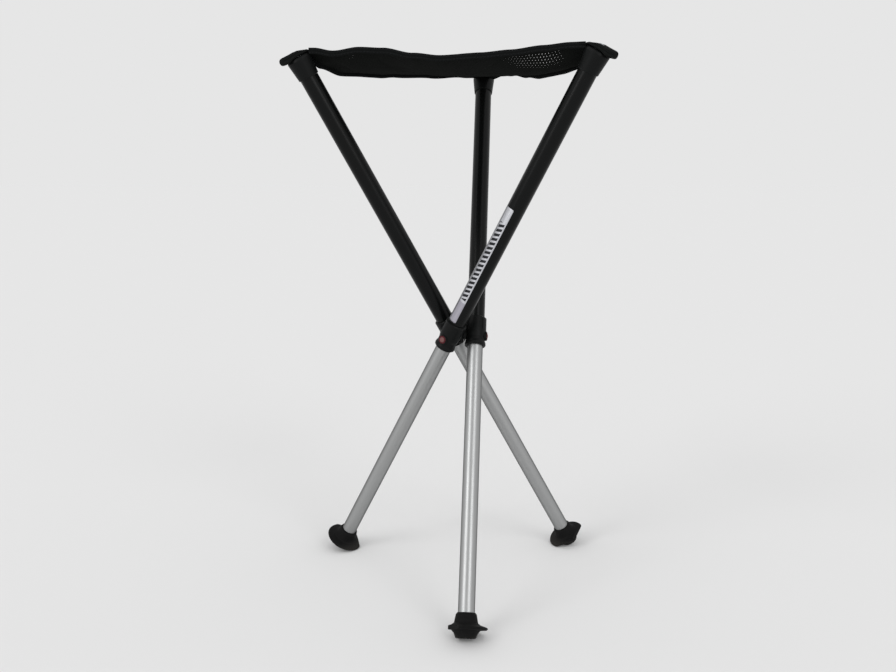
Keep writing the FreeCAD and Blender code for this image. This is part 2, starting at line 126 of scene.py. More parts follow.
def raise_surface(tree, shader, pattern, height, strength=1.0):
    """Bumps the surface by a pattern; height is in metres."""
    bump = add_node(
        tree, "ShaderNodeBump", {"Strength": strength, "Distance": height}, {"Height": pattern}
    )
    tree.links.new(bump.outputs["Normal"], shader.inputs["Normal"])


def leg_frame(number):
    """A leg's own frame on the open stool: its pivot, X out along the pivot axis, Z up the leg."""
    joints = {joint["name"]: joint for joint in frame["joints"]}
    fold = joints[f"leg_{number}_fold"]
    out = Vector(fold["axis"]).normalized()
    along = Vector(joints[f"leg_{number}_telescope"]["axis"]).normalized()
    turn = Matrix((out, along.cross(out), along)).transposed().to_4x4()
    return Matrix.Translation(fold["pos_m"]) @ turn


def leg_coordinates(tree, number, stretch):
    """Texture coordinates in a leg's frame, drawn out along the leg by stretch."""
    place = leg_frame(number)
    where = add_node(tree, "ShaderNodeTexCoord")
    return add_node(
        tree,
        "ShaderNodeMapping",
        {
            "vector_type": "TEXTURE",
            "Location": place.translation,
            "Rotation": place.to_euler(),
            "Scale": (1.0, 1.0, stretch),
        },
        {"Vector": where.outputs["Object"]},
    ).outputs["Vector"]


def finish_mesh(name, bm, material, sharp=60.0):
    """Turns a bmesh into a finished object at the origin, smooth except at sharp edges."""
    mesh = bpy.data.meshes.new(name)
    bm.to_mesh(mesh)
    bm.free()
    for polygon in mesh.polygons:
        polygon.use_smooth = True
    mesh.set_sharp_from_angle(angle=math.radians(sharp))
    mesh.materials.append(material)
    piece = bpy.data.objects.new(name, mesh)
    bpy.context.scene.collection.objects.link(piece)
    return piece


def bent_grid(along, across, place, tube=False):
    """A grid bent by place(u, v), with u and v from 0 to 1; a tube is joined round and capped."""
    bm = bmesh.new()
    bm.loops.layers.uv.new("UVMap")
    bmesh.ops.create_grid(bm, x_segments=along, y_segments=across, size=0.5, calc_uvs=True)
    for vert in bm.verts:
        vert.co = place(vert.co.x + 0.5, vert.co.y + 0.5)
    if tube:
        bmesh.ops.remove_doubles(bm, verts=bm.verts, dist=0.01 * MM)
        open_edges = [edge for edge in bm.edges if edge.is_boundary]
        bmesh.ops.holes_fill(bm, edges=open_edges, sides=across + 1)
        bmesh.ops.recalc_face_normals(bm, faces=bm.faces)
    return bm


def spread_uv(bm, length, width):
    """Stretches a bent grid's UV map to its real size in metres, so that cloth keeps its scale."""
    uv = bm.loops.layers.uv.verify()
    for face in bm.faces:
        for loop in face.loops:
            loop[uv].uv = (loop[uv].uv.x * length, loop[uv].uv.y * width)


def soft_round(angle, half_width, half_height, squareness=0.6):
    """A point of a rounded band's section: (across, up)."""
    c, s = math.cos(angle), math.sin(angle)
    across = half_width * math.copysign(abs(c) ** squareness, c)
    up = half_height * math.copysign(abs(s) ** squareness, s)
    return across, up


def smooth_step(low, high, value):
    """0 below low, 1 above high, and an eased rise between them."""
    t = min(max((value - low) / (high - low), 0.0), 1.0)
    return t * t * (3 - 2 * t)


# Sizes and colours

class StoolSeatSizes(bpy.types.PropertyGroup):
    """Sizes of the mesh seat and its sewn edges."""

    corner_turn: FloatProperty(
        name="Corner direction", description="From a leg's pivot axis to its seat corner",
        default=math.radians(83.9), subtype="ANGLE")
    corner_reach: FloatProperty(
        name="Corner reach", description="Stool axis to where the edges' outer lines meet",
        default=238 * MM, unit="LENGTH")
    side_inset: FloatProperty(
        name="Side inset", description="Stool axis to the middle of each outer edge",
        default=103 * MM, unit="LENGTH")
    top: FloatProperty(
        name="Corner height", description="Floor to the top of the sewn edges at the corners",
        default=749 * MM, unit="LENGTH")
    middle_sag: FloatProperty(
        name="Seat sag", description="How far the middle of the seat hangs below an even sheet",
        default=4.0 * MM, unit="LENGTH")
    front_hang: FloatProperty(
        name="Front hang", description="How far the slack mesh drops just behind the front edge",
        default=12 * MM, unit="LENGTH")
    edge_depth: FloatProperty(
        name="Edge depth", description="Height of the turned-down binding",
        default=8 * MM, unit="LENGTH")
    edge_thickness: FloatProperty(
        name="Edge thickness", description="Thickness of the folded binding",
        default=2.4 * MM, unit="LENGTH")
    edge_end: FloatProperty(
        name="Edge end", description="Share of a half side that its binding covers",
        default=0.85, min=0.5, max=1.0)
    patch: FloatProperty(
        name="Corner patch", description="Corner weight above which the cloth is closed",
        default=0.84, min=0.6, max=1.0)
    cells: IntProperty(
        name="Holes along a side", description="Mesh openings along each side of the seat",
        default=100, min=20, max=120)
    yarn: FloatProperty(
        name="Yarn", description="Width of the yarn bars between the openings",
        default=2.8 * MM, unit="LENGTH")
    yarn_thickness: FloatProperty(
        name="Mesh thickness", description="Thickness of the knitted bars",
        default=0.8 * MM, unit="LENGTH")
    stitch_pitch: FloatProperty(
        name="Stitch pitch", description="From one stitch to the next",
        default=4.2 * MM, unit="LENGTH")
    stitch_length: FloatProperty(
        name="Stitch length", description="Length of a stitch that shows",
        default=3.0 * MM, unit="LENGTH")
    thread: FloatProperty(
        name="Thread", description="Diameter of the sewing thread",
        default=0.7 * MM, unit="LENGTH")


class StoolLegSizes(bpy.types.PropertyGroup):
    """Sizes of what is added to the legs."""

    cap_top: FloatProperty(
        name="Cap top", description="Pivot to the cap's top, along the leg",
        default=434.9 * MM, unit="LENGTH")
    tab_thickness: FloatProperty(
        name="Tab thickness", description="Thickness of the folded webbing on the cap",
        default=7.0 * MM, unit="LENGTH")
    tab_width: FloatProperty(
        name="Tab width", description="Width of the webbing",
        default=25.0 * MM, unit="LENGTH")
    tab_tip: FloatProperty(
        name="Tab tip", description="Leg axis to the rolled tip",
        default=24.0 * MM, unit="LENGTH")
    tab_roll: FloatProperty(
        name="Tab roll", description="Radius of the rolled tip",
        default=4.9 * MM, unit="LENGTH")
    tube_radius: FloatProperty(
        name="Tube radius", description="Outer radius of the black tube",
        default=12.5 * MM, unit="LENGTH")
    label_start: FloatProperty(
        name="Label start", description="Pivot to the label's lower end, along the leg",
        default=27 * MM, unit="LENGTH")
    label_end: FloatProperty(
        name="Label end", description="Pivot to the label's upper end, along the leg",
        default=210 * MM, unit="LENGTH")
    label_from: FloatProperty(
        name="Label from",
        description="Where the label's edge lies round the tube, from the pivot axis",
        default=math.radians(-64), subtype="ANGLE")
    label_to: FloatProperty(
        name="Label to", description="Where the label's other edge lies round the tube",
        default=math.radians(23), subtype="ANGLE")


class StoolColours(bpy.types.PropertyGroup):
    """Colours of the stool's finishes."""

    black_tube: FloatVectorProperty(
        name="Black tube", description="Black anodised tube",
        default=srgb("#0a0b0b"), size=3, subtype="COLOR")
    silver_tube: FloatVectorProperty(
        name="Silver tube", description="Natural anodised tube",
        default=srgb("#abacac"), size=3, subtype="COLOR")
    moulding: FloatVectorProperty(
        name="Mouldings", description="Collars, caps and hub",
        default=srgb("#0c0d0d"), size=3, subtype="COLOR")
    rubber: FloatVectorProperty(
        name="Feet", description="Rubber feet",
        default=srgb("#0e0e0e"), size=3, subtype="COLOR")
    cloth: FloatVectorProperty(
        name="Cloth", description="Seat mesh, binding and webbing",
        default=srgb("#0c0c0c"), size=3, subtype="COLOR")
    bezel: FloatVectorProperty(
        name="Button ring", description="Ring round the lock button",
        default=srgb("#43131a"), size=3, subtype="COLOR")
    button: FloatVectorProperty(
        name="Button", description="Lock button",
        default=srgb("#5f3f3e"), size=3, subtype="COLOR")
    label: FloatVectorProperty(
        name="Label", description="Foil label",
        default=srgb("#d0d1d6"), size=3, subtype="COLOR")


class StoolStage(bpy.types.PropertyGroup):
    """The floor, the lights and the camera."""

    backdrop: FloatVectorProperty(
        name="Backdrop", description="Colour of the floor and the surroundings",
        default=srgb("#e6e6e6"), size=3, subtype="COLOR")
    ambient: FloatProperty(
        name="Ambient", description="Strength of the light from all round", default=1.0)
    key_strength: FloatProperty(
        name="Key light", description="Strength of the wide light on the left, in W per m2",
        default=0.5)
    fill_strength: FloatProperty(
        name="Fill light", description="Strength of the wide light on the right, in W per m2",
        default=0.4)
    low_share: FloatProperty(
        name="Low light",
        description="Strength of the light near the floor, as a share of the high one",
        default=1.2)
    light_height: FloatProperty(
        name="Light height", description="How high the upper light stands on either side",
        default=math.radians(36), subtype="ANGLE")
    low_height: FloatProperty(
        name="Low light height", description="How high the lower light stands on either side",
        default=math.radians(8), subtype="ANGLE")
    light_width: FloatProperty(
        name="Light width", description="How wide each light looks from the stool",
        default=math.radians(26), subtype="ANGLE")
    camera_place: FloatVectorProperty(
        name="Camera", description="Where the camera stands",
        default=(92.5 * MM, -1314.3 * MM, 597.4 * MM), size=3, subtype="TRANSLATION")
    camera_turn: FloatVectorProperty(
        name="Camera turn", description="The camera's rotation",
        default=(math.radians(79.779), math.radians(0.054), math.radians(4.706)),
        size=3, subtype="EULER")
    lens: FloatProperty(
        name="Lens", description="Focal length on a 36 mm wide sensor, in millimetres",
        default=37.536)


# Finishes

def black_anodised(number):
    """Drawn aluminium tube, anodised black: satin, with faint lines from drawing along it."""
    colours = bpy.context.scene.stool_colours
    material, tree, shader = new_material(
        f"Black anodised drawn aluminium, leg {number}", colours.black_tube, 0.28,
        Specular_IOR_Level=0.13)
    # lines are some 1.5 mm apart, coarser than real drawing lines, which the picture can't show
    lines = add_node(
        tree, "ShaderNodeTexNoise", {"Scale": 650.0, "Detail": 3.0, "Roughness": 0.6},
        {"Vector": leg_coordinates(tree, number, 60.0)})
    range_of(tree, lines.outputs["Fac"], 0.2, 0.34, shader.inputs["Roughness"])
    raise_surface(tree, shader, lines.outputs["Fac"], 0.02 * MM, 0.5)
    return material


def natural_anodised(number):
    """Drawn aluminium tube, clear anodised: a soft grey metal with lines and a cloudy film, and a
    painted reflection that darkens its edges.
    """
    colours = bpy.context.scene.stool_colours
    # the near-black edge tint is a painted reflection: it darkens the tube's grazing edges as dark
    # surroundings would
    material, tree, shader = new_material(
        f"Natural anodised drawn aluminium, leg {number}", colours.silver_tube, 0.34, 1.0,
        Specular_Tint=(0.02, 0.02, 0.02, 1.0))
    lines = add_node(
        tree, "ShaderNodeTexNoise", {"Scale": 700.0, "Detail": 3.0, "Roughness": 0.6},
        {"Vector": leg_coordinates(tree, number, 80.0)})
    clouds = add_node(
        tree, "ShaderNodeTexNoise", {"Scale": 45.0, "Detail": 2.0},
        {"Vector": leg_coordinates(tree, number, 4.0)})
    range_of(tree, clouds.outputs["Fac"], 0.30, 0.48, shader.inputs["Roughness"])
    dark = [0.86 * channel for channel in colours.silver_tube]
    two_tones(tree, shader, lines.outputs["Fac"], dark, colours.silver_tube)
    raise_surface(tree, shader, lines.outputs["Fac"], 0.02 * MM, 0.4)
    return material


def moulded_nylon():
    """Glass-filled nylon from a spark-eroded mould: dull, with a fine even grain."""
    colours = bpy.context.scene.stool_colours
    material, tree, shader = new_material(
        "Moulded glass filled nylon", colours.moulding, 0.42, Specular_IOR_Level=0.1)
    where = add_node(tree, "ShaderNodeTexCoord").outputs["Object"]
    # mould grain of 0.6 mm, and slow changes of gloss some 15 mm across
    grain = add_node(
        tree, "ShaderNodeTexNoise", {"Scale": 1600.0, "Detail": 2.0}, {"Vector": where})
    flow = add_node(tree, "ShaderNodeTexNoise", {"Scale": 65.0, "Detail": 3.0}, {"Vector": where})
    range_of(tree, flow.outputs["Fac"], 0.34, 0.52, shader.inputs["Roughness"])
    light = [1.5 * channel for channel in colours.moulding]
    two_tones(tree, shader, grain.outputs["Fac"], colours.moulding, light)
    raise_surface(tree, shader, grain.outputs["Fac"], 0.06 * MM, 0.6)
    return material


def moulded_rubber():
    """Black moulded rubber: matt, slightly uneven, with dust where it meets the floor."""
    colours = bpy.context.scene.stool_colours
    material, tree, shader = new_material(
        "Moulded black rubber", colours.rubber, 0.7, Specular_IOR_Level=0.1)
    where = add_node(tree, "ShaderNodeTexCoord").outputs["Object"]
    grain = add_node(
        tree, "ShaderNodeTexNoise", {"Scale": 900.0, "Detail": 4.0}, {"Vector": where})
    height = add_node(tree, "ShaderNodeSeparateXYZ", {}, {"Vector": where}).outputs["Z"]
    # the dust fades out over the lowest 14 mm
    near_floor = add_node(
        tree, "ShaderNodeMapRange",
        {"From Min": 0.0, "From Max": 14 * MM, "To Min": 1.0, "To Max": 0.0}, {"Value": height})
    dust = add_node(
        tree, "ShaderNodeMath", {"operation": "MULTIPLY"},
        {0: near_floor.outputs["Result"], 1: grain.outputs["Fac"]})
    two_tones(tree, shader, dust.outputs["Value"], colours.rubber, srgb("#3b3936"))
    range_of(tree, grain.outputs["Fac"], 0.58, 0.8, shader.inputs["Roughness"])
    raise_surface(tree, shader, grain.outputs["Fac"], 0.12 * MM, 0.7)
    return material


def woven_cloth(name, thread, light, crossing=1.0):
    """Woven polyester on a piece's UV map, which is in metres: rounded threads over and under."""
    colours = bpy.context.scene.stool_colours
    material, tree, shader = new_material(
        name, colours.cloth, 0.85, Specular_IOR_Level=0.0, Sheen_Weight=0.02)
    where = add_node(tree, "ShaderNodeTexCoord").outputs["UV"]
    # a wave's scale of 1 has a period of pi / 10 of a unit along its axis
    scale = math.pi / 10 / thread
    warp = add_node(
        tree, "ShaderNodeTexWave", {"bands_direction": "X", "Scale": scale}, {"Vector": where})
    weft = add_node(
        tree, "ShaderNodeTexWave", {"bands_direction": "Y", "Scale": scale * crossing},
        {"Vector": where})
    weave = add_node(
        tree, "ShaderNodeMath", {"operation": "MAXIMUM"},
        {0: warp.outputs["Fac"], 1: weft.outputs["Fac"]})
    fuzz = add_node(
        tree, "ShaderNodeTexNoise", {"Scale": 900.0, "Detail": 2.0}, {"Vector": where})
    height = add_node(
        tree, "ShaderNodeMath", {"operation": "MULTIPLY"},
        {0: weave.outputs["Value"], 1: fuzz.outputs["Fac"]})
    two_tones(tree, shader, height.outputs["Value"], colours.cloth, srgb(light))
    raise_surface(tree, shader, weave.outputs["Value"], 0.25 * thread, 0.8)
    return material


def knitted_yarn():
    """Warp-knitted polyester: dull bars of fine filaments that lie unevenly."""
    dark, light = srgb("#111211"), srgb("#1b1c1b")
    material, tree, shader = new_material(
        "Warp knitted polyester yarn", dark, 0.8, Specular_IOR_Level=0.0, Sheen_Weight=0.01)
    where = add_node(tree, "ShaderNodeTexCoord").outputs["Object"]
    # filaments are drawn some 0.5 mm across, coarser than real ones, which the picture can't show
    filaments = add_node(
        tree, "ShaderNodeTexNoise", {"Scale": 2200.0, "Detail": 2.0}, {"Vector": where})
    two_tones(tree, shader, filaments.outputs["Fac"], dark, light)
    raise_surface(tree, shader, filaments.outputs["Fac"], 0.1 * MM, 0.7)
    return material


def sewing_thread():
    """Bonded polyester thread: a little glossier than the cloth, twisted."""
    material, tree, shader = new_material(
        "Bonded polyester thread", srgb("#1a1b1c"), 0.6, Specular_IOR_Level=0.1)
    where = add_node(tree, "ShaderNodeTexCoord").outputs["Object"]
    twist = add_node(
        tree, "ShaderNodeTexNoise", {"Scale": 3000.0, "Detail": 1.0}, {"Vector": where})
    two_tones(tree, shader, twist.outputs["Fac"], srgb("#121314"), srgb("#212223"))
    raise_surface(tree, shader, twist.outputs["Fac"], 0.08 * MM, 0.6)
    return material


def within(tree, value, low, high):
    """1 where the value lies between low and high, and else 0."""
    return add_node(
        tree, "ShaderNodeMath",
        {"operation": "COMPARE", 1: 0.5 * (low + high), 2: 0.5 * (high - low)}, {0: value}
    ).outputs["Value"]


def overlay_ink_and_shade(tree, shader, masks, ink):
    """Lays an even colour over the surface's colour where all the masks are 1: printed ink, and on
    the label's left band painted shade.
    """
    mask = masks[0]
    for other in masks[1:]:
        mask = add_node(
            tree, "ShaderNodeMath", {"operation": "MULTIPLY"}, {0: mask, 1: other}
        ).outputs["Value"]
    under = shader.inputs["Base Color"].links[0].from_socket
    mix = add_node(
        tree, "ShaderNodeMix", {"data_type": "RGBA", 7: (*ink, 1.0)}, {0: mask, 6: under})
    tree.links.new(mix.outputs[2], shader.inputs["Base Color"])


def brushed_foil(length, width):
    """Self-adhesive aluminium foil: bright, brushed along its length, printed with plain bars, with
    painted shade along its left side.
    """
    colours = bpy.context.scene.stool_colours
    material, tree, shader = new_material("Brushed aluminium foil", colours.label, 0.38, 0.6)
    where = add_node(tree, "ShaderNodeTexCoord").outputs["UV"]
    stretched = add_node(
        tree, "ShaderNodeMapping", {"Scale": (60.0, 1500.0, 1.0)}, {"Vector": where})
    brushing = add_node(
        tree, "ShaderNodeTexNoise", {"Scale": 1.0, "Detail": 4.0},
        {"Vector": stretched.outputs["Vector"]})
    dark = [0.55 * channel for channel in colours.label]
    two_tones(tree, shader, brushing.outputs["Fac"], dark, colours.label)
    range_of(tree, brushing.outputs["Fac"], 0.3, 0.5, shader.inputs["Roughness"])
    place = add_node(tree, "ShaderNodeSeparateXYZ", {}, {"Vector": where})
    along, across = place.outputs["X"], place.outputs["Y"]
    ink, end_grey, painted_shade_grey = srgb("#1a1b1f"), srgb("#9c9aa3"), srgb("#7b7c80")
    # a grey lower end, painted shade as a grey band along the left side, which lies near the tube's
    # outline, and a thin dark line along the right edge
    overlay_ink_and_shade(tree, shader, [within(tree, along, -0.1 * length, 0.18 * length)], end_grey)
    overlay_ink_and_shade(tree, shader, [within(tree, across, -0.1 * width, 0.36 * width)], painted_shade_grey)
    # slanted bars in the middle of the strip
    pitch, slant = 6.4 * MM, math.radians(24)
    slanted = add_node(
        tree, "ShaderNodeMapping", {"Rotation": (0.0, 0.0, slant)}, {"Vector": where})
    bars = add_node(
        tree, "ShaderNodeTexWave", {"bands_direction": "X", "Scale": math.pi / 10 / pitch},
        {"Vector": slanted.outputs["Vector"]})
    overlay_ink_and_shade(tree, shader, [
        within(tree, along, 0.2 * length, 0.88 * length),
        within(tree, across, 0.38 * width, 0.86 * width),
        within(tree, bars.outputs["Fac"], 0.38, 1.1)], ink)
    overlay_ink_and_shade(tree, shader, [within(tree, across, 0.96 * width, 1.1 * width)], ink)
    return material


def plain_moulding(name, colour, roughness, light):
    """A small smooth moulded piece with a faint cloud in its gloss and tone."""
    material, tree, shader = new_material(name, colour, roughness, Specular_IOR_Level=0.15)
    where = add_node(tree, "ShaderNodeTexCoord").outputs["Object"]
    cloud = add_node(
        tree, "ShaderNodeTexNoise", {"Scale": 500.0, "Detail": 3.0}, {"Vector": where})
    two_tones(tree, shader, cloud.outputs["Fac"], colour, light)
    range_of(
        tree, cloud.outputs["Fac"], 0.8 * roughness, 1.2 * roughness, shader.inputs["Roughness"])
    return material


def zinc_steel():
    """Zinc plated steel: bright grey with a faint bluish, uneven film."""
    material, tree, shader = new_material("Zinc plated steel", srgb("#9a9ea3"), 0.34, 1.0)
    where = add_node(tree, "ShaderNodeTexCoord").outputs["Object"]
    film = add_node(
        tree, "ShaderNodeTexNoise", {"Scale": 420.0, "Detail": 4.0}, {"Vector": where})
    two_tones(tree, shader, film.outputs["Fac"], srgb("#83888f"), srgb("#b2b4b6"))
    range_of(tree, film.outputs["Fac"], 0.26, 0.46, shader.inputs["Roughness"])
    return material


# Seat geometry

def corner_direction(number):
    """Level direction from the stool's axis to a leg's seat corner."""
    sizes = bpy.context.scene.stool_seat
    out = leg_frame(number).to_3x3() @ Vector((1, 0, 0))
    return Matrix.Rotation(sizes.corner_turn, 3, "Z") @ out


def side_direction(side):
    """Level direction from the stool's axis to the middle of a side, half way between corners."""
    return Matrix.Rotation(math.radians(60), 3, "Z") @ corner_direction(side)


def half_side():
    """Half the distance between two seat corners."""
    return bpy.context.scene.stool_seat.corner_reach * math.sin(math.radians(60))


# How far the top of each side hangs below the corners, in millimetres, by the place along the
# side from -1 at its first corner to 1 at its second. The slack cloth hangs unevenly.
EDGE_DROPS = {
    1: ((-1.0, 3.0), (-0.86, 5.0), (-0.66, 7.3), (-0.27, 14.0), (0.1, 18.2), (0.25, 21.0),
        (0.4, 21.5), (0.58, 22.8), (0.74, 15.5), (0.86, 3.0), (1.0, 1.0)),
    2: ((-1.0, 0.5), (-0.82, 0.8), (-0.7, 4.6), (-0.54, 0.4), (-0.39, 1.9), (-0.2, 8.8),
        (-0.03, 12.4), (0.22, 10.3), (0.4, 7.9), (0.6, 4.0), (0.76, 1.7), (1.0, 1.5)),
    3: ((-1.0, 1.0), (-0.86, 4.0), (-0.7, 21.5), (-0.5, 24.6), (-0.34, 24.9), (-0.2, 25.0),
        (0.0, 20.2), (0.25, 13.0), (0.52, 8.5), (0.7, 9.5), (0.86, 5.5), (1.0, 3.0)),
}
# Where slack mesh hangs behind the front edge: the middle and half the width of each place,
# from -1 at the edge's left end to 1 at its right, and its share of the front hang.
SLACK_PLACES = ((0.66, 0.34, 1.0), (-0.64, 0.16, 0.5))


def slice_direction(number):
    """Level direction of a slice's middle; slice 0 points at the first corner."""
    return Matrix.Rotation(2 * math.pi * number / SLICES, 3, "Z") @ corner_direction(1)


def slice_at(point):
    """The slice of the seat that a point lies in."""
    first = corner_direction(1)
    angle = math.atan2(point.y, point.x) - math.atan2(first.y, first.x)
    return round(angle * SLICES / (2 * math.pi)) % SLICES


def edge_parts():
    """From and to of the parts of a side's binding, one for each slice that it crosses."""
    end = bpy.context.scene.stool_seat.edge_end
    shortest = 0.04
    cuts = [-end]
    for step in range(-99, 100):
        s = end * step / 100
        crossed = slice_at(edge_point(1, s, 0.0)[0]) != slice_at(edge_point(1, cuts[-1], 0.0)[0])
        if crossed and shortest < s + end < 2 * end - shortest:
            cuts.append(s)
    cuts.append(end)
    return list(zip(cuts, cuts[1:]))


def edge_drop(side, s):
    """The drop of a side's top, eased from each given place to the next."""
    table = EDGE_DROPS[side]
    for (low, before), (high, after) in zip(table, table[1:]):
        if s <= high:
            return (before + (after - before) * smooth_step(low, high, s)) * MM
    return table[-1][1] * MM


def edge_point(side, s, inset):
    """A point of a seat edge, s from -1 at its first corner to 1 at its second, and its outside."""
    sizes = bpy.context.scene.stool_seat
    outwards = side_direction(side)
    onwards = Matrix.Rotation(math.radians(90), 3, "Z") @ outwards
    bow = sizes.corner_reach * math.cos(math.radians(60)) - sizes.side_inset
    reach = sizes.side_inset + bow * s * s - inset
    height = sizes.top - edge_drop(side, s)
    return outwards * reach + onwards * (half_side() * s) + UP * height, outwards


def panel_point(weights):
    """A point of the seat's sheet from its three corner weights, which add up to 1."""
    sizes = bpy.context.scene.stool_seat
    inset = 0.5 * sizes.edge_thickness
    reach = sizes.corner_reach - 2 * inset
    bow = reach * math.cos(math.radians(60)) - (sizes.side_inset - inset)
    point = UP * (sizes.top - 0.35 * sizes.edge_depth)
    for number in LEGS:
        point = point + corner_direction(number) * (reach * weights[number])
    for side in LEGS:
        first, second = side, side % 3 + 1
        s = weights[second] - weights[first]
        # 1 on this side and 0 on the other two
        near = 4 * weights[first] * weights[second] / max(1 - s * s, 1e-6)
        inwards = side_direction(side) * (bow * near * (1 - s * s))
        point = point - inwards - UP * (near * edge_drop(side, s))
    along = (weights[3] - weights[2]) / max(1 - weights[1], 1e-6)
    slack = sum(
        share * max(1 - ((along - middle) / half_width) ** 2, 0.0)
        for middle, half_width, share in SLACK_PLACES)
    # the slack is deepest a tenth of the way from the front edge to the rear corner
    behind = smooth_step(0.0, 0.1, weights[1]) * (1 - smooth_step(0.1, 0.32, weights[1]))
    point = point - UP * (sizes.front_hang * slack * behind)
    # 1 in the middle of the seat and 0 along its edges
    bubble = 27 * weights[1] * weights[2] * weights[3]
    ripple = 0.5 * MM * math.sin(24 * (weights[2] - weights[3])) * bubble
    return point - UP * (bubble * sizes.middle_sag - ripple)


def net_of_seat():
    """The whole seat as a net of diamonds, with the corner weights of every point in layers."""
    sizes = bpy.context.scene.stool_seat
    bm = bmesh.new()
    bmesh.ops.create_circle(bm, cap_ends=True, segments=3, radius=1.0)
    tips = [vert.co.copy() for vert in bm.verts]
    bmesh.ops.subdivide_edges(bm, edges=bm.edges, cuts=sizes.cells - 1, use_grid_fill=True)
    layers = {number: bm.verts.layers.float.new(f"weight_{number}") for number in LEGS}
    for vert in bm.verts:
        weights = {n: (1 + 2 * vert.co.dot(tips[n - 1])) / 3 for n in LEGS}
        for number in LEGS:
            vert[layers[number]] = weights[number]
        vert.co = panel_point(weights)
    level = layers[1]
    # the triangles' rows are joined in pairs, except along the lines half way from each corner
    same = 0.1 / sizes.cells
    rows = [
        edge for edge in bm.edges
        if not edge.is_boundary
        and abs(edge.verts[0][level] - edge.verts[1][level]) < same
        and abs(edge.verts[0][level] - 0.5) > same
    ]
    joined = [edge for edge in rows if not any(
        all(abs(vert[layers[n]] - 0.5) < same for vert in edge.verts) for n in (2, 3))]
    bmesh.ops.dissolve_edges(bm, edges=joined, use_verts=False)
    return bm


def weights_of(face, layers):
    """A face's mean corner weights."""
    return {n: sum(vert[layers[n]] for vert in face.verts) / len(face.verts) for n in LEGS}


def slice_of_net(whole, number):
    """A copy of the net with one slice's faces, without the corners' tips under the tabs."""
    bm = whole.copy()
    layers = {n: bm.verts.layers.float[f"weight_{n}"] for n in LEGS}
    gone = [
        face for face in bm.faces
        if slice_at(face.calc_center_median()) != number
        or max(weights_of(face, layers).values()) > UNDER_TAB
    ]
    bmesh.ops.delete(bm, geom=gone, context="FACES")
    return bm, layers


def gather(piece, number):
    """Attaches a slice's piece to the seat's body with a mesh of its own; the axis it would gather
    about, towards the seat's middle and up, is worked out but not used.
    """
    per_side = SLICES // len(LEGS)
    from_corner = min(number % per_side, -number % per_side)
    # slices between the corners hang deeper, so their axis is tilted steeper, to clear the corner
    # tabs
    rise = math.radians(5.0 + 2.0 * min(from_corner, 2))
    axis = slice_direction(number) * math.cos(rise) - UP * math.sin(rise)
    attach(piece, "seat")
    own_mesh(piece)


class STOOL_OT_seat_mesh(bpy.types.Operator):
    """Knits the seat's open mesh in slices round its middle"""

    bl_idname = "stool.seat_mesh"
    bl_label = "Seat mesh"

    def execute(self, context):
        sizes = context.scene.stool_seat
        yarn = knitted_yarn()
        whole = net_of_seat()
        for number in range(SLICES):
            bm, layers = slice_of_net(whole, number)
            flat_area = sum(face.calc_area() for face in bm.faces)
            openings = [
                face for face in bm.faces
                if max(weights_of(face, layers).values()) < sizes.patch
            ]
            bmesh.ops.inset_individual(
                bm, faces=openings, thickness=0.5 * sizes.yarn, use_even_offset=True)
            bmesh.ops.delete(bm, geom=openings, context="FACES")
            piece = finish_mesh(f"seat_mesh_{number + 1}", bm, yarn)
            bars = piece.modifiers.new("Bars", "SOLIDIFY")
            bars.thickness = sizes.yarn_thickness
            bars.offset = 0.0
            gather(piece, number)
            if number == 0:
                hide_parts("seat_panel")
        whole.free()
        return {"FINISHED"}


class STOOL_OT_seat_edges(bpy.types.Operator):
    """Sews a turned-down binding round the seat, in one part for each slice, with two seams"""

    bl_idname = "stool.seat_edges"
    bl_label = "Seat edges"

    def execute(self, context):
        cloth = woven_cloth("Polyester binding tape", 1.6 * MM, "#1f2121")
        thread = sewing_thread()
        for side in LEGS:
            for number, (low, high) in enumerate(edge_parts(), start=1):
                name = f"{side}_{number}"
                binding = self.binding(context, name, side, low, high, cloth)
                stitches = self.stitches(context, name, side, low, high, thread)
                if low < 0 < high:
                    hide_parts(f"seat_hem_{side}")
                place = slice_at(edge_point(side, 0.5 * (low + high), 0.0)[0])
                for piece in (binding, stitches):
                    gather(piece, place)
        return {"FINISHED"}

    def binding(self, context, name, side, low, high, cloth):
        sizes = context.scene.stool_seat

        half_width, half_height = 0.5 * sizes.edge_thickness, 0.5 * sizes.edge_depth
        pucker_height = 0.12 * MM
        puckers = 53

        def place(u, v):
            s = low + (high - low) * u
            edge, outwards = edge_point(side, s, half_width)
            across, up = soft_round(2 * math.pi * v, half_width, half_height)
            pucker = pucker_height * math.sin(2 * math.pi * s * puckers)
            return edge + outwards * (across + pucker) + UP * (up - half_height)

        bm = bent_grid(round(176 * (high - low)), 20, place, tube=True)
        spread_uv(bm, half_side() * (high - low), 2.4 * sizes.edge_depth)
        return finish_mesh(f"seat_edge_{name}", bm, cloth, 80)

    def stitches(self, context, name, side, low, high, thread):
        sizes = context.scene.stool_seat
        count = round(half_side() * (high - low) / sizes.stitch_pitch)
        margin = 1.8 * MM
        shape = Matrix.Diagonal(
            (0.5 * sizes.stitch_length, 0.5 * sizes.thread, 0.4 * sizes.thread, 1.0))
        bm = bmesh.new()
        for row in (margin, sizes.edge_depth - margin):
            for inset in (0.0, sizes.edge_thickness):
                for number in range(count):
                    s = low + (high - low) * (number + 0.5) / count
                    spot = edge_point(side, s, inset)[0]
                    ahead = edge_point(side, s + 0.01, inset)[0]
                    turn = (ahead - spot).to_track_quat("X", "Z").to_matrix().to_4x4()
                    place = Matrix.Translation(spot - UP * row) @ turn
                    bmesh.ops.create_uvsphere(
                        bm, u_segments=6, v_segments=4, radius=1.0, matrix=place @ shape)
        return finish_mesh(f"seat_stitches_{name}", bm, thread)


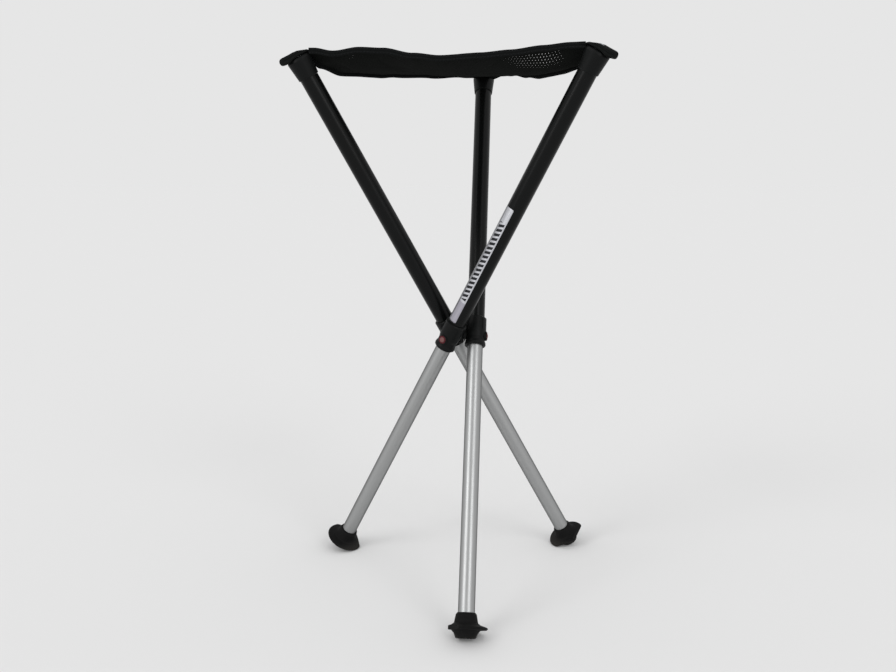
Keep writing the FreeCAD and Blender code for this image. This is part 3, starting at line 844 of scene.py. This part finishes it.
class STOOL_OT_corner_tabs(bpy.types.Operator):
    """Folds the seat's corners over the leg caps: layers of webbing with a rolled tip"""

    bl_idname = "stool.corner_tabs"
    bl_label = "Corner tabs"

    def execute(self, context):
        webbing = woven_cloth("Folded polyester webbing", 1.8 * MM, "#212322", 0.5)
        for number in LEGS:
            tab = self.tab(context, number, webbing)
            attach(tab, f"upper_leg_{number}")
            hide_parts(f"corner_tab_{number}")
        return {"FINISHED"}

    def tab(self, context, number, webbing):
        sizes = context.scene.stool_legs
        place_on_leg = leg_frame(number)
        lean = math.acos(place_on_leg.col[2].z)
        # places along the tab, from the leg's axis: its inner end, and its bend into the seat
        inner, bend = -25.0 * MM, -12.0 * MM
        length = sizes.tab_tip - inner
        half_width, half_height = 0.5 * sizes.tab_width, 0.5 * sizes.tab_thickness
        thin = 1.1 * MM
        clearance = 0.05 * MM
        droop = 0.9 * MM
        round_from = sizes.tab_tip - 11.0 * MM
        # the screw's head pulls a dimple into the top
        dimple_radius, dimple_depth = 6.5 * MM, 2.6 * MM

        def place(u, v):
            s = inner + length * math.sin(0.5 * math.pi * u) if u > 0 else inner
            past = min(s - bend, 0.0)
            y = max(s, bend) + past * math.cos(lean)
            # the layers thin out from the middle of the cap to where the seat begins
            layers = thin + (half_height - thin) * smooth_step(bend - 4.0 * MM, 2.0 * MM, s)
            layers *= 0.45 + 0.55 * smooth_step(inner, bend, s)
            roll = smooth_step(6.0 * MM, sizes.tab_tip - sizes.tab_roll, s)
            thick = layers + (sizes.tab_roll - half_height) * roll
            height = sizes.cap_top + clearance + layers + past * math.sin(lean) - droop * roll
            tip = max(s - (sizes.tab_tip - sizes.tab_roll), 0.0) / sizes.tab_roll
            thick *= math.sqrt(max(1.0 - tip * tip, 0.0))
            rounding = max(s - round_from, 0.0) / (sizes.tab_tip - round_from)
            width = half_width * math.sqrt(max(1.0 - 0.86 * rounding * rounding, 0.0))
            # the underside is squarer than the top, to lie flat on the cap
            across, up = soft_round(2 * math.pi * v, width, thick, 0.55 if v < 0.5 else 0.3)
            dimple = max(1.0 - (math.hypot(across, s) / dimple_radius) ** 4, 0.0)
            if up > 0:
                up -= dimple_depth * dimple
            return place_on_leg @ Vector((across, y, height + up))

        bm = bent_grid(64, 56, place, tube=True)
        spread_uv(bm, length, 2.4 * sizes.tab_width)
        return finish_mesh(f"webbing_tab_{number}", bm, webbing, 70)


class STOOL_OT_label(bpy.types.Operator):
    """Lays a foil strip with plain bars along the third leg's black tube"""

    bl_idname = "stool.label"
    bl_label = "Label strip"

    def execute(self, context):
        sizes = context.scene.stool_legs
        place_on_leg = leg_frame(3)
        thickness = 0.1 * MM
        # the foil's outside; a little glue is left between its inside and the tube
        radius = sizes.tube_radius + thickness + 0.02 * MM
        length = sizes.label_end - sizes.label_start
        width = radius * (sizes.label_to - sizes.label_from)
        middle = 0.5 * (sizes.label_from + sizes.label_to)
        corner = 1.2 * MM

        def place(u, v):
            along = u * length
            from_end = min(along, length - along, corner)
            cut = corner - math.sqrt(corner ** 2 - (corner - from_end) ** 2)
            turn = sizes.label_from + (sizes.label_to - sizes.label_from) * v
            turn = middle + (turn - middle) * (1 - 2 * cut / width)
            return place_on_leg @ Vector(
                (radius * math.cos(turn), radius * math.sin(turn), sizes.label_start + along))

        bm = bent_grid(120, 16, place)
        bmesh.ops.recalc_face_normals(bm, faces=bm.faces)
        # the printed side faces away from the tube's axis
        leg_axis = place_on_leg.col[2].xyz
        sample = bm.faces[0]
        outwards = sample.calc_center_median() - place_on_leg.translation
        outwards -= leg_axis * outwards.dot(leg_axis)
        if sample.normal.dot(outwards) < 0:
            bmesh.ops.reverse_faces(bm, faces=bm.faces)
        spread_uv(bm, length, width)
        label = finish_mesh("label_strip", bm, brushed_foil(length, width))
        backing = label.modifiers.new("Foil", "SOLIDIFY")
        backing.thickness = thickness
        backing.offset = -1.0
        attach(label, "upper_leg_3")
        return {"FINISHED"}


class STOOL_OT_finishes(bpy.types.Operator):
    """Gives every piece of the construction its finish"""

    bl_idname = "stool.finishes"
    bl_label = "Finishes"

    def execute(self, context):
        colours = context.scene.stool_colours
        nylon = moulded_nylon()
        rubber = moulded_rubber()
        steel = zinc_steel()
        black_acetal = plain_moulding("Black acetal", srgb("#1d1e1f"), 0.4, srgb("#2b2c2e"))
        red = plain_moulding("Red nylon", colours.bezel, 0.35, srgb("#541a20"))
        pale = plain_moulding("Pale nylon", colours.button, 0.4, srgb("#7a5856"))
        finishes = {
            "hub": nylon, "collar": nylon, "leg_cap": nylon, "foot": rubber,
            "pivot_washer": black_acetal, "pivot_screw": steel, "tab_screw": steel,
            "snap_clip": steel, "guide_ring": black_acetal, "slide_bush": black_acetal,
            "foot_plug": black_acetal, "button_ring": red, "lock_button": pale,
        }
        tubes = {
            "outer_tube": {n: black_anodised(n) for n in LEGS},
            "inner_tube": {n: natural_anodised(n) for n in LEGS},
        }
        for name, node in frame["nodes"].items():
            kind = name.rstrip("0123456789").rstrip("_")
            if kind in CLOTH_NODES:
                continue
            finish = tubes[kind][int(name[-1])] if kind in tubes else finishes[kind]
            node.data.materials.clear()
            node.data.materials.append(finish)
        return {"FINISHED"}


class STOOL_OT_stage(bpy.types.Operator):
    """Sets out the pale floor, the soft lights and the camera"""

    bl_idname = "stool.stage"
    bl_label = "Stage"

    def execute(self, context):
        scene = context.scene
        stage = scene.stool_stage
        self.floor(stage)
        self.surroundings(scene, stage)
        # two lights one above the other stand for each tall soft box
        for name, side, strength in (
                ("Key", math.radians(-52), stage.key_strength),
                ("Fill", math.radians(34), stage.fill_strength)):
            self.soft_light(f"{name} light", side, stage.light_height, stage, strength)
            self.soft_light(
                f"{name} light low", side, stage.low_height, stage, strength * stage.low_share)
        camera_data = bpy.data.cameras.new("Camera")
        camera_data.sensor_fit = "HORIZONTAL"
        camera_data.sensor_width = 36.0
        camera_data.lens = stage.lens
        camera = bpy.data.objects.new("Camera", camera_data)
        camera.location = stage.camera_place
        camera.rotation_euler = stage.camera_turn
        scene.collection.objects.link(camera)
        scene.camera = camera
        scene.view_settings.view_transform = "Standard"
        return {"FINISHED"}

    def floor(self, stage):
        # the lights' share is taken off, so that the floor looks as bright as the surroundings
        upwards = math.sin(stage.light_height) + stage.low_share * math.sin(stage.low_height)
        lights = (stage.key_strength + stage.fill_strength) * upwards / math.pi
        tone = [channel / (channel * stage.ambient + lights) for channel in stage.backdrop]
        material = new_material("Matt pale paper", tone, 1.0, Specular_IOR_Level=0.0)[0]
        bm = bmesh.new()
        bmesh.ops.create_grid(bm, x_segments=1, y_segments=1, size=30.0)
        floor = finish_mesh("floor", bm, material)

    def surroundings(self, scene, stage):
        world = bpy.data.worlds.new("Studio")
        world.use_nodes = True
        background = world.node_tree.nodes["Background"]
        background.inputs["Color"].default_value = (*stage.backdrop, 1.0)
        background.inputs["Strength"].default_value = stage.ambient
        scene.world = world

    def soft_light(self, name, side, height, stage, strength):
        """A wide distant light, turned to one side of the camera's direction."""
        data = bpy.data.lights.new(name, "SUN")
        data.energy = strength
        data.angle = stage.light_width
        light = bpy.data.objects.new(name, data)
        turn = Matrix.Rotation(stage.camera_turn[2] + side, 4, "Z")
        lean = Matrix.Rotation(math.pi / 2 - height, 4, "X")
        light.rotation_euler = (turn @ lean).to_euler()
        bpy.context.scene.collection.objects.link(light)


class STOOL_PT_panel(bpy.types.Panel):
    """Lists the stool's sizes, colours and pieces"""

    bl_idname = "STOOL_PT_panel"
    bl_label = "Folding tripod stool"
    bl_space_type = "VIEW_3D"
    bl_region_type = "UI"
    bl_category = "Stool"

    def draw(self, context):
        layout = self.layout
        for group in GROUPS:
            box = layout.box()
            settings = getattr(context.scene, group)
            for name in settings.bl_rna.properties.keys():
                if name not in ("rna_type", "name"):
                    box.prop(settings, name)
        for operator in OPERATORS:
            layout.operator(operator.bl_idname)


GROUPS = {
    "stool_seat": StoolSeatSizes,
    "stool_legs": StoolLegSizes,
    "stool_colours": StoolColours,
    "stool_stage": StoolStage,
}
OPERATORS = (
    STOOL_OT_stage,
    STOOL_OT_finishes,
    STOOL_OT_corner_tabs,
    STOOL_OT_seat_edges,
    STOOL_OT_seat_mesh,
    STOOL_OT_label,
)


def register():
    """Registers the settings, the operators and the panel."""
    for name, group in GROUPS.items():
        bpy.utils.register_class(group)
        setattr(bpy.types.Scene, name, PointerProperty(type=group))
    for operator in OPERATORS:
        bpy.utils.register_class(operator)
    bpy.utils.register_class(STOOL_PT_panel)


def unregister():
    """Takes everything that register added away again."""
    bpy.utils.unregister_class(STOOL_PT_panel)
    for operator in reversed(OPERATORS):
        bpy.utils.unregister_class(operator)
    for name, group in GROUPS.items():
        delattr(bpy.types.Scene, name)
        bpy.utils.unregister_class(group)


def main():
    """Dresses the stool, piece by piece."""
    register()
    bpy.ops.stool.stage()
    bpy.ops.stool.finishes()
    bpy.ops.stool.corner_tabs()
    bpy.ops.stool.seat_edges()
    bpy.ops.stool.seat_mesh()
    bpy.ops.stool.label()


if __name__ == "__main__":
    main()
